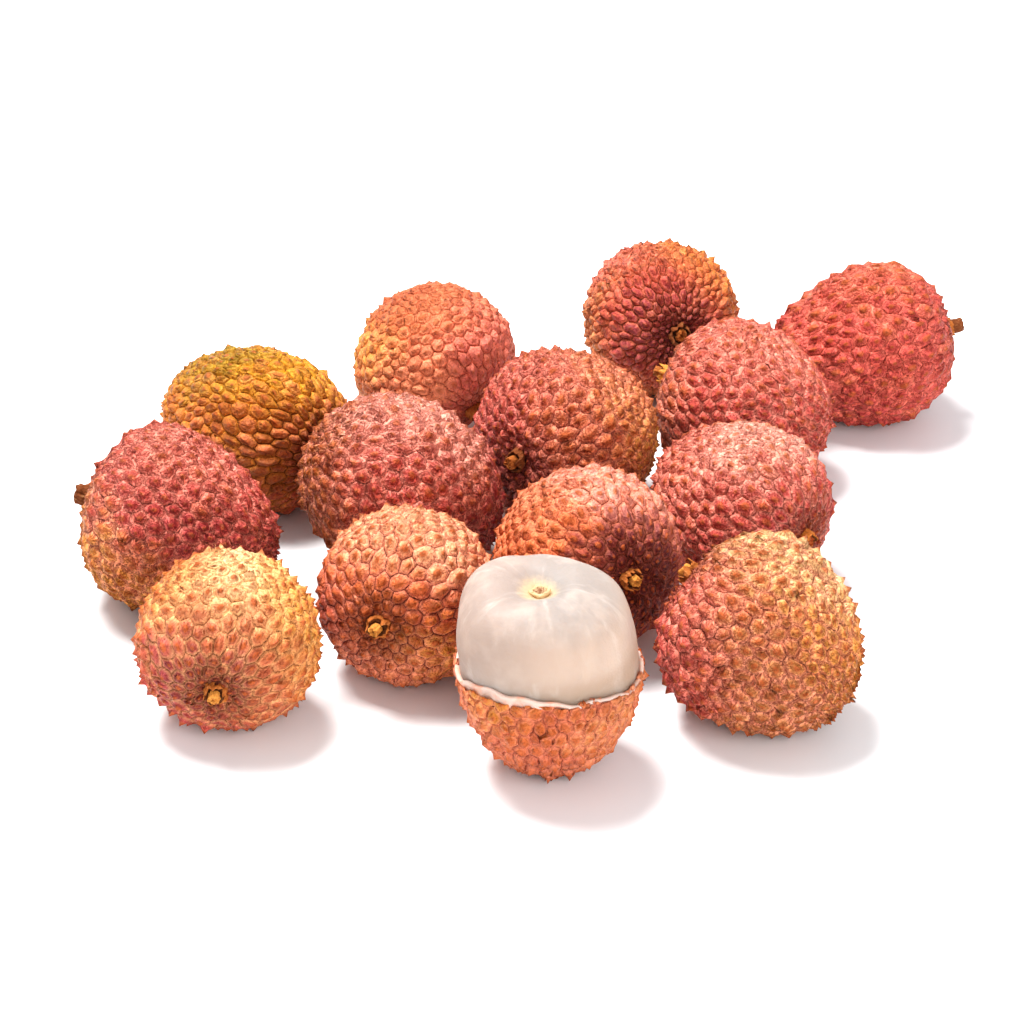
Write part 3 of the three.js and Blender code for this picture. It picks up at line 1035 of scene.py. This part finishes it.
# %% Thirteen stalks
# the collar's and the stub's colours, the stub's radius in millimetres, how much of the stem's length
# is left, and how ragged the collar is
STALK = ("ochre", "straw", 1.05, 1.0, 1.5)
ODD_STALKS = {
    "front_left": ("ochre", "straw", 1.15, 0.6, 1.6),
    "far_left": ("brown", "brown", 1.9, 0.75, 2.4),
    "centre": ("brown", "ochre", 1.2, 0.8, 1.5),
    "behind_peeled": ("ochre", "straw", 1.1, 0.8, 1.7),
    "far_back": ("brown", "ochre", 1.3, 0.6, 1.5),
    "back_right": ("straw", "ochre", 1.2, 0.75, 1.6),
    "far_right": ("ochre", "brown", 1.6, 1.0, 0.8),
    "mid_right": ("amber", "rust", 1.3, 0.35, 0.9),
    "front_right": ("ochre", "straw", 1.2, 0.6, 1.8),
}
STALK_COLUMNS, STALK_STEPS = 40, 3
FIBRE_PACE, FIBRE_RUN = 6, 0.9  # how fast the fibres change round the stalk and along it


def stalk(number, name):
    collar_colour, stub_colour, stub_radius, left, ragged = ODD_STALKS.get(name, STALK)
    egg = EGGS[name]
    along = (corners("stem_" + name) - np.array(egg["centre"])) @ np.array(egg["axis"])
    foot, length = along.min(), (along.max() - along.min()) / MM * left
    groups = stalk_profile(length, stub_radius)
    profile = spline([p for group in groups for p in group], STALK_STEPS)
    # 0 on the collar, a half in the hollow inside it, and 1 on the stub
    kinds = np.repeat([0, 0.5, 1, 1], [len(group) * STALK_STEPS for group in groups])[: len(profile)]
    turn = egg["axis"].to_track_quat("Z", "Y").to_matrix()
    rows = len(profile)

    def corner(row, column):
        radius, height = profile[row]
        angle = round_angle(column, STALK_COLUMNS)
        x, y = math.cos(angle), math.sin(angle)
        on_rim = math.exp(-(((height - COLLAR_TOP) / COLLAR_BLUR) ** 2)) * (radius > stub_radius + COLLAR_GAP)
        at_end = kinds[row] == 1 and height > length - BREAK_REACH
        broad = stalk_flaw(number, x, y, BROAD_RUN * height, BROAD_FLAW)
        fine = stalk_flaw(number, x, y, FINE_RUN * height, FINE_FLAW)
        radius *= 1 + ragged * (broad + fine)
        if 0 < row < rows - 1:
            height += ragged * on_rim * stalk_flaw(number, x, y, RIM_SLICE, RIM_FLAW)
            height += at_end * stalk_flaw(number, x, y, radius, BREAK_FLAW)
        shape = Vector((x * max(radius, 0), y * max(radius, 0), height)) * MM
        return egg["centre"] + egg["axis"] * foot + turn @ shape

    def fibre(row, column):
        angle = round_angle(column, STALK_COLUMNS)
        x, y = FIBRE_PACE * math.cos(angle) + number, FIBRE_PACE * math.sin(angle)
        return (x, y, FIBRE_RUN * profile[row][1])

    marks = {
        "stub": lambda row, column: float(kinds[row] == 1),
        "hollow": lambda row, column: float(kinds[row] == 0.5),
        "fibre": fibre,
    }
    piece = swept("stalk_" + name, rows, STALK_COLUMNS, corner, marks)
    piece.data.materials.append(stalk_material("Stalk " + name, collar_colour, stub_colour))
    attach(piece, "root")
    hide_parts("stem_" + name)
    return piece


stalks = [stalk(number, name) for number, name in enumerate(WHOLE)]
print("triangles in a stalk:", triangles(stalks[0]))

# %% [markdown]
# ## The half-peeled fruit
#
# The peeled fruit stands on its tip. Its cup is the same skin, cut at a torn rim and given a wall. The
# fruit's own frame comes from the rim of the cup's solid, whose corners lie in one plane, and its egg
# has the sizes that the solids were drawn with.

# %% The peeled fruit's frame
PEELED_HALF_LENGTH = 20.4 * MM
PEELED_HALF_WIDTH = 17.2 * MM
PEELED_SHOULDER = 0.14
RIM_HEIGHT = 24.5 * MM
RIM_CORNERS = 48
CUP_WALL = 0.9 * MM

cup_points = np.unique(corners("peeled_shell").round(6), axis=0)
rim_points = cup_points[np.argsort(cup_points[:, 2])[-RIM_CORNERS:]]
rim_centre = Vector(rim_points.mean(0))
up = Vector(np.linalg.svd(rim_points - rim_points.mean(0))[2][2])
up = up if up.z > 0 else -up
side = (Vector((1, 0, 0)) - up * up.x).normalized()
PEELED_TURN = Matrix((side, up.cross(side), up)).transposed()
PEELED_CENTRE = rim_centre - up * (RIM_HEIGHT - PEELED_HALF_LENGTH)
RIM_SHARE = RIM_HEIGHT / PEELED_HALF_LENGTH - 1
print("the peeled fruit leans", round(math.degrees(up.angle(Vector((0, 0, 1)))), 2), "degrees")

# %% The cup
CUP_LOOK = PLAIN_LOOK | {
    "ground": "clay",
    "patches": [
        (-125, 25, 32, "gold"), (-85, -5, 34, "rust"), (-42, -5, 32, "tan"), (180, -10, 30, "salmon"),
    ],
    "border": ("blush", 0.35), "crack": ("brown", 0.2), "tip": ("rust", 0.8), "fine": 0.5, "bump": 0.9,
}
cup_egg = {"centre": PEELED_CENTRE, "axis": up}
values = {
    "Seed": 40,
    "Plate size": 0.135,
    "Centre": PEELED_CENTRE,
    "Turn": PEELED_TURN.to_euler(),
    "Half length": PEELED_HALF_LENGTH,
    "Half width": PEELED_HALF_WIDTH,
    "Shoulder": PEELED_SHOULDER,
    "Pit depth": 0.0,
    "Swell": 0.5 * MM,
    "Tent": 0.25 * MM,
    "Thorn": 0.3 * MM,
    "Rim": RIM_SHARE,
    "Skin": skin_material("Skin peeled", cup_egg, CUP_LOOK),
}
cup = grown(SKIN_TREE, "skin_peeled_cup", values)
wall = cup.modifiers.new("Wall", "SOLIDIFY")
wall.thickness = CUP_WALL
wall.offset = -1
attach(cup, "root")
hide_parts("peeled_shell")
print("triangles in the cup before its wall:", triangles(cup))

# %% [markdown]
# ### The lining
#
# Inside its skin a lychee has a smooth white lining. It tears apart from the skin, so it stands a little
# higher than the rim, most of all at the front left. It is a closed band, swept round with the rim.

# %% The lining
LINING_COLUMNS = 180
LINING_PEAK_AZIMUTH = math.radians(-127)
LINING_PEAK, LINING_PEAK_SPREAD = 2.0, 0.5  # how high it stands there in millimetres, and over what angle
LINING_DROP = 0.3  # how far its level lies below the skin's, in millimetres
# how many tears go round, how deep they are in millimetres, and where they start in radians
TEAR_WAVES = ((7, 0.21, 1), (16, 0.12, 0))
LIFTED_ABOVE = -0.3  # the part of the section below this height stays where it is
# inset from the skin and height above the torn rim, in millimetres, round the band's section
LINING_SECTION = spline(
    [(1.2, -2.2), (0.9, -1.2), (0.45, -0.4), (0.15, 0.1), (0.1, 0.5), (0.35, 0.7), (0.8, 0.6), (1.3, 0.1),
     (1.7, -1.2), (1.7, -3.0), (1.4, -4.0), (1.2, -3.2), (1.2, -2.2)], 3)


def peeled_place(radius, height, azimuth):
    """A place in the peeled fruit's own frame, with its height from the tip."""
    local = Vector((radius * math.cos(azimuth), radius * math.sin(azimuth), height - PEELED_HALF_LENGTH))
    return PEELED_CENTRE + PEELED_TURN @ local


def egg_radius(height, inset=0.0):
    """The peeled egg's radius at a height from its tip."""
    along = max(-1.0, min(1.0, (height - PEELED_HALF_LENGTH) / (PEELED_HALF_LENGTH - inset)))
    return (PEELED_HALF_WIDTH - inset) * math.sqrt(1 - along * along) * (1 + PEELED_SHOULDER * along)


def lining_lift(azimuth):
    """How far the lining stands above the torn skin, in millimetres."""
    off_peak = math.remainder(azimuth - LINING_PEAK_AZIMUTH, 2 * math.pi)
    tears = sum(depth * math.sin(count * azimuth + start) for count, depth, start in TEAR_WAVES)
    peak = LINING_PEAK * math.exp(-((off_peak / LINING_PEAK_SPREAD) ** 2))
    return peak - LINING_DROP + tears


def lining():
    ring = len(LINING_SECTION) - 1
    points, faces = [], []
    for column in range(LINING_COLUMNS):
        azimuth = round_angle(column, LINING_COLUMNS)
        rim = RIM_HEIGHT + rim_wave(azimuth, math.sin) * PEELED_HALF_LENGTH
        for inset, above in LINING_SECTION[:-1]:
            lift = lining_lift(azimuth) * MM if above > LIFTED_ABOVE else 0
            height = rim + above * MM + lift
            points.append(peeled_place(egg_radius(height) - inset * MM, height, azimuth))
        here, there = column * ring, (column + 1) % LINING_COLUMNS * ring
        for k in range(ring):
            after = (k + 1) % ring
            faces.append((here + k, there + k, there + after, here + after))
    return linked("cup_lining", smooth_mesh("cup_lining", points, faces))


# %% The lining's material
LINING_WHITE = (0.62, 0.46, 0.39)
BLOTCH_WAVE, BLOTCH_SPAN, BLOTCH_DEPTH = 2.5 * MM, (0.45, 0.65), 0.5
LINING_GRAIN_WAVE, LINING_BUMP = 0.6 * MM, 0.2 * MM


def lining_material():
    g = Finish("Lining")
    place = g.place()
    blotch = g.smooth(g.noise(place, 1 / BLOTCH_WAVE, detail=3, roughness=0.6), *BLOTCH_SPAN)
    return g.shaded({
        "Base Color": g.mix(blotch * BLOTCH_DEPTH, LINING_WHITE, COLOURS["salmon"]),
        "Normal": g.bump(g.noise(place, 1 / LINING_GRAIN_WAVE), LINING_BUMP, strength=0.7),
        "Roughness": 0.45,
        "Subsurface Weight": 0.4,
        "Subsurface Radius": (1.0, 0.7, 0.5),
        "Subsurface Scale": 1.5 * MM,
    })


lining_piece = lining()
lining_piece.data.materials.append(lining_material())
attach(lining_piece, "root")
print("triangles in the lining:", triangles(lining_piece))

# %% [markdown]
# ## The flesh
#
# The peeled flesh is a squarish dome of translucent white, with a dimple at the stem's scar. Soft lobes
# run down from the dimple, and a few faint furrows run between them. Its shape follows a rule too: the
# egg's wall below the rim, a superellipse above it, and lobes, furrows and the dimple laid over both.

# %% The flesh's profile
FLESH_INSET = 1.0 * MM
FLESH_WIDTH = 33.4 * MM
FLESH_WAIST = 26 * MM
FLESH_TOP = 40.7 * MM
FLESH_SQUARENESS = 3.2
FLESH_COLUMNS = 192
FLESH_ROWS = 120
LOW_ROWS = 0.42  # the share of the rows that lies below the rim
LIP_ROWS = 0.03  # the share over which the flesh swells out above it


def flesh_profile(share):
    """Radius and height of the plain flesh, from its tip at 0 to its top at 1."""
    if share < LOW_ROWS:
        climb = 1 - math.cos(math.pi / 2 * share / LOW_ROWS)
        height = FLESH_INSET + (RIM_HEIGHT - FLESH_INSET) * climb
        return egg_radius(height, FLESH_INSET), height
    angle = math.pi / 2 * (share - LOW_ROWS) / (1 - LOW_ROWS)
    power = 2 / FLESH_SQUARENESS
    radius = FLESH_WIDTH / 2 * max(math.cos(angle), 0.0) ** power
    height = FLESH_WAIST + (FLESH_TOP - FLESH_WAIST) * math.sin(angle) ** power
    blend = min(1.0, (share - LOW_ROWS) / LIP_ROWS)
    start = egg_radius(RIM_HEIGHT, FLESH_INSET)
    return start + (radius - start) * blend, RIM_HEIGHT + (height - RIM_HEIGHT) * blend


# %% The flesh's shape
SCAR_CENTRE = PEELED_TURN.transposed() @ (Vector(centre_of_volume("peeled_scar")) - PEELED_CENTRE)
DIMPLE_DEPTH, DIMPLE_SPREAD = 3.0 * MM, 4.6 * MM
# each furrow: its heading at the rim and at the scar in degrees, its depth in millimetres, and its width
# in radians
FURROWS = (
    (-70, -62, 0.36, 0.13),
    (-60, -35, 0.32, 0.12),
    (-118, -125, 0.2, 0.2),
    (-12, -5, 0.36, 0.2),
    (40, 60, 0.4, 0.22),
    (105, 105, 0.36, 0.2),
    (178, 165, 0.28, 0.2),
)
EXPOSED_OVER = 6 * MM  # how far above the rim the flesh has its own full shape
FURROW_START, FURROW_GROWTH = 4 * MM, 8 * MM  # how far from the scar a furrow starts and gets whole
FURROW_FADE = 0.6  # how much shallower a furrow is on top
UNEVEN, UNEVEN_WAVE = 0.22 * MM, 5 * MM
SQUARE = 0.4 * MM  # how far its four corners stand out and the sides between them lie in
SQUARE_BIAS = 0.25 * MM  # how much more they do so at the left, and how much less at the right
SHIFT = 0.75 * MM  # how far it leans to the left
LOBE_REACH = 8 * MM  # how far from the middle the lobes are whole
TILT = 0.09  # how steeply its top rises to the left


def clamped(value):
    return min(1.0, max(0.0, value))


def off_scar(azimuth, radius):
    return radius * math.cos(azimuth) - SCAR_CENTRE.x, radius * math.sin(azimuth) - SCAR_CENTRE.y


def furrow_depth(heading, top):
    """How deep the furrows are at a heading from the scar, where top goes from 0 low down to 1."""
    depths = 0.0
    for at_rim, at_scar, depth, width in FURROWS:
        off = math.remainder(heading - math.radians(at_rim + (at_scar - at_rim) * top), 2 * math.pi)
        depths += depth * MM * math.exp(-((off / width) ** 2))
    return depths


def flesh_corner(row, column):
    azimuth = round_angle(column, FLESH_COLUMNS)
    radius, height = flesh_profile(row / (FLESH_ROWS - 1))
    exposed = clamped((height - RIM_HEIGHT) / EXPOSED_OVER)
    top = clamped((height - FLESH_WAIST) / (FLESH_TOP - FLESH_WAIST))
    x, y = radius * math.cos(azimuth), radius * math.sin(azimuth)
    x_off, y_off = off_scar(azimuth, radius)
    out = math.hypot(x_off, y_off)
    fades = exposed * clamped((out - FURROW_START) / FURROW_GROWTH) * (1 - FURROW_FADE * top**4)
    sunk = furrow_depth(math.atan2(y_off, x_off), top) * fades
    uneven = UNEVEN * exposed * mathutils.noise.noise(Vector((x, y, height)) / UNEVEN_WAVE)
    lobes = (SQUARE_BIAS * math.cos(azimuth) - SQUARE) * math.cos(4 * azimuth) - SHIFT * math.cos(azimuth)
    radius = max(0.0, radius + (uneven - sunk + lobes * exposed) * min(1, radius / LOBE_REACH))
    height += (uneven - sunk) * top
    if height > FLESH_WAIST:
        height -= DIMPLE_DEPTH * math.exp(-((out / DIMPLE_SPREAD) ** 2))
        height -= TILT * x * exposed * top
    return peeled_place(radius, height, azimuth)


def flesh_marks():
    def from_scar(row, column):
        radius, _ = flesh_profile(row / (FLESH_ROWS - 1))
        return (*off_scar(round_angle(column, FLESH_COLUMNS), radius), 0.0)

    def height(row, column):
        return flesh_profile(row / (FLESH_ROWS - 1))[1] / FLESH_TOP

    return {"from_scar": from_scar, "height": height}


# %% The flesh's material
# painted shade: the top, where the key light falls, is painted darker than the sides, as well as being the
# clearest part
FLESH_SHADED_TOP = (0.29, 0.25, 0.225)  # the colour of the top, which is the clearest
# each tint: the span over which it comes in, how strong it gets, and its colour
# side, rim and left are painted light: the sides are painted paler and warmer than the top, the flesh near
# the rim darker and warmer, a painted shade with a painted reflection of the red skin, and the left side,
# where the key falls, darker; cloud, streak and dimple are the flesh's own colour
FLESH_TINTS = {
    "side": ((0.99, 0.82), 1.0, (0.47, 0.36, 0.29)),
    "rim": ((0.76, 0.64), 0.8, (0.36, 0.25, 0.18)),
    "left": ((0.3, -0.9), 0.8, (0.31, 0.24, 0.205)),
    "cloud": ((-0.1, 0.5), 0.35, (0.50, 0.40, 0.34)),
    "streak": ((0.1, 0.6), 0.3, (0.60, 0.52, 0.46)),
    "dimple": ((4.5 * MM, 1.5 * MM), 0.7, (0.74, 0.52, 0.27)),
}
CLOUD_WAVE, FLESH_GRAIN_WAVE = 6 * MM, 0.8 * MM
STREAK_PACE, STREAK_DRIFT = 3, 110
DIMPLE_WANDER = 0.8 * MM
FLESH_STREAKS, FLESH_GRAIN, FLESH_CLOUD, FLESH_BUMP = 0.6, 0.25, 0.5, 0.25 * MM
FLESH_ROUGHNESS, FLESH_PATCHES = 0.55, 0.08


def flesh_material():
    g = Finish("Flesh")
    place, height, from_scar = g.place(), g.mark("height"), g.mark("from_scar", "Vector")
    way = g.vector_math("NORMALIZE", from_scar)
    streaks = g.flaws(way * STREAK_PACE + place * STREAK_DRIFT, 1.0, detail=4, roughness=0.55)
    cloud = g.flaws(place, 1 / CLOUD_WAVE, detail=3, roughness=0.55)
    grain = g.flaws(place, 1 / FLESH_GRAIN_WAVE, detail=3, roughness=0.6)
    away = g.vector_math("LENGTH", from_scar, out="Value") + grain * DIMPLE_WANDER
    fields = {"side": height, "rim": height, "left": way.part("X")}
    fields |= {"cloud": cloud, "streak": streaks, "dimple": away}
    colour = FLESH_SHADED_TOP
    for name, (span, depth, tint) in FLESH_TINTS.items():
        colour = g.mix(g.smooth(fields[name], *span) * depth, colour, tint)
    fine = streaks * FLESH_STREAKS + grain * FLESH_GRAIN + cloud * FLESH_CLOUD
    return g.shaded({
        "Base Color": colour,
        "Normal": g.bump(fine, FLESH_BUMP, strength=0.6),
        "Roughness": FLESH_ROUGHNESS + grain * FLESH_PATCHES,
        "Subsurface Weight": 0.8,
        "Subsurface Radius": (1.0, 0.75, 0.6),
        "Subsurface Scale": 12 * MM,
        "Specular IOR Level": 0.3,
    })


flesh = swept("flesh", FLESH_ROWS, FLESH_COLUMNS, flesh_corner, flesh_marks())
flesh.data.materials.append(flesh_material())
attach(flesh, "root")
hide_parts("peeled_flesh")
print("triangles in the flesh:", triangles(flesh))

# %% [markdown]
# ## The scar on the flesh
#
# Where the stalk fed the flesh, a small dry scar is left: a yellowish, squarish rim round a speckled
# brown hollow.

# %% The scar's shape
SCAR_COLUMNS = 48
# radius and height in millimetres, from under the scar to the middle of its hollow
SCAR_PROFILE = spline(
    [(0, -0.9), (1.2, -0.8), (1.75, -0.3), (1.8, 0.1), (1.6, 0.35), (1.25, 0.36), (1.0, 0.15),
     (0.6, 0.05), (0, 0.1)], 3)
SCAR_SINK = 0.35 * MM  # how far the profile's zero height lies below the middle of the scar's solid
SCAR_SQUARENESS = 0.1
# how much a flaw changes the radius, as a share, and the height, in millimetres, and its pace round the scar
SCAR_FLAW, SCAR_FLAW_HEIGHT, SCAR_FLAW_PACE = 0.18, 0.15, 1.5
# how high a speck stands in millimetres, its pace, and the height in the noise that it is read at
SPECK_HEIGHT, SPECK_PACE, SPECK_SLICE = 0.22, 3, 4.0


def scar_corner(row, column):
    radius, height = SCAR_PROFILE[row]
    angle = round_angle(column, SCAR_COLUMNS)
    x, y = math.cos(angle), math.sin(angle)
    flaw = mathutils.noise.noise(Vector((x * SCAR_FLAW_PACE, y * SCAR_FLAW_PACE, radius)))
    speck = mathutils.noise.noise(Vector((x * radius * SPECK_PACE, y * radius * SPECK_PACE, SPECK_SLICE)))
    radius = max(0.0, radius * (1 + SCAR_SQUARENESS * math.cos(4 * angle) + SCAR_FLAW * flaw))
    height += SPECK_HEIGHT * speck + SCAR_FLAW_HEIGHT * flaw
    local = SCAR_CENTRE + Vector((x * radius * MM, y * radius * MM, height * MM - SCAR_SINK))
    return PEELED_CENTRE + PEELED_TURN @ local


# %% The scar's material
SCAR_RIM, SCAR_HOLLOW = (0.66, 0.47, 0.25), (0.45, 0.29, 0.15)
HOLLOW_START = (1.4, 0.9)  # the radii, in millimetres, between which the rim turns into the hollow
SPECK_WAVE, SPECK_SPAN, SPECK_DEPTH = 0.35 * MM, (0.1, 0.35), 0.8
SPECK_RADIUS, SPECK_THINNING = 1.2, 0.5  # the specks thin out beyond this radius in millimetres
SCAR_BUMP = 0.25 * MM


def scar_material():
    g = Finish("Scar")
    out = g.mark("out")
    specks = g.flaws(g.place(), 1 / SPECK_WAVE)
    colour = g.mix(g.smooth(out, *HOLLOW_START), SCAR_RIM, SCAR_HOLLOW)
    speckled = g.smooth(specks - (out - SPECK_RADIUS) * SPECK_THINNING, *SPECK_SPAN)
    return g.shaded({
        "Base Color": g.mix(speckled * SPECK_DEPTH, colour, COLOURS["brown"]),
        "Normal": g.bump(specks, SCAR_BUMP),
        "Roughness": 0.55,
    })


scar_marks = {"out": lambda row, column: SCAR_PROFILE[row][0]}
scar_piece = swept("flesh_scar", len(SCAR_PROFILE), SCAR_COLUMNS, scar_corner, scar_marks)
scar_piece.data.materials.append(scar_material())
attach(scar_piece, "root")
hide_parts("peeled_scar")
print("triangles in the scar:", triangles(scar_piece))

# %% [markdown]
# ## The table and the light
#
# The bunch lies on one large white sheet in a studio's light. The key is a soft box overhead, a little to
# the left and behind, which throws the shadows forward and to the right, and its size sets how soft they
# are. A wide, weak box at the front right lifts the sides that face the viewer, and a pale surround fills
# the rest, so the table stays white to its edges.

# %% The table
TABLE_SIZE = 6.0
TABLE_WHITE = (0.83, 0.83, 0.83)


def table():
    half = TABLE_SIZE / 2
    square = [(-half, -half, 0), (half, -half, 0), (half, half, 0), (-half, half, 0)]
    mesh = bpy.data.meshes.new("Table")
    mesh.from_pydata(square, [], [(0, 1, 2, 3)])
    mesh.materials.append(Finish("White table").shaded({"Base Color": TABLE_WHITE}))
    return linked("Table", mesh)


table()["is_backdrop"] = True
print("the table is", TABLE_SIZE, "m wide")

# %% The light
# where each soft box hangs and its two sizes, all in metres, and its watts
SOFT_BOXES = {
    "Key": ((-0.25, 0.18, 0.9), 0.4, 0.36, 15.6),
    "Fill": ((0.36, -0.78, 0.48), 0.9, 0.6, 6.4),
}
SURROUND = (0.95, 0.96, 1.0)
SURROUND_STRENGTH = 0.6


def soft_box(name, place, width, height, watts):
    light = bpy.data.lights.new(name, "AREA")
    light.shape = "RECTANGLE"
    light.size = width
    light.size_y = height
    light.energy = watts
    lamp = linked(name, light)
    lamp.location = place
    lamp.rotation_euler = Vector(place).to_track_quat("Z", "Y").to_euler()
    return lamp


lamps = [soft_box(name, *box) for name, box in SOFT_BOXES.items()]
world = bpy.data.worlds.new("Studio")
world.use_nodes = True
surround = world.node_tree.nodes["Background"]
surround.inputs["Color"].default_value = (*SURROUND, 1)
surround.inputs["Strength"].default_value = SURROUND_STRENGTH
bpy.context.scene.world = world
bpy.context.scene.view_settings.view_transform = "Standard"
bpy.context.scene.view_settings.look = "Medium High Contrast"
print("lamps:", len(lamps))

# %% The two boxes
size = {"cad": [list(v) for v in cad_box], "visual": [list(v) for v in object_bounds()]}
print("sizes in mm:", {k: [round((b - a) / MM, 1) for a, b in zip(*box)] for k, box in size.items()})
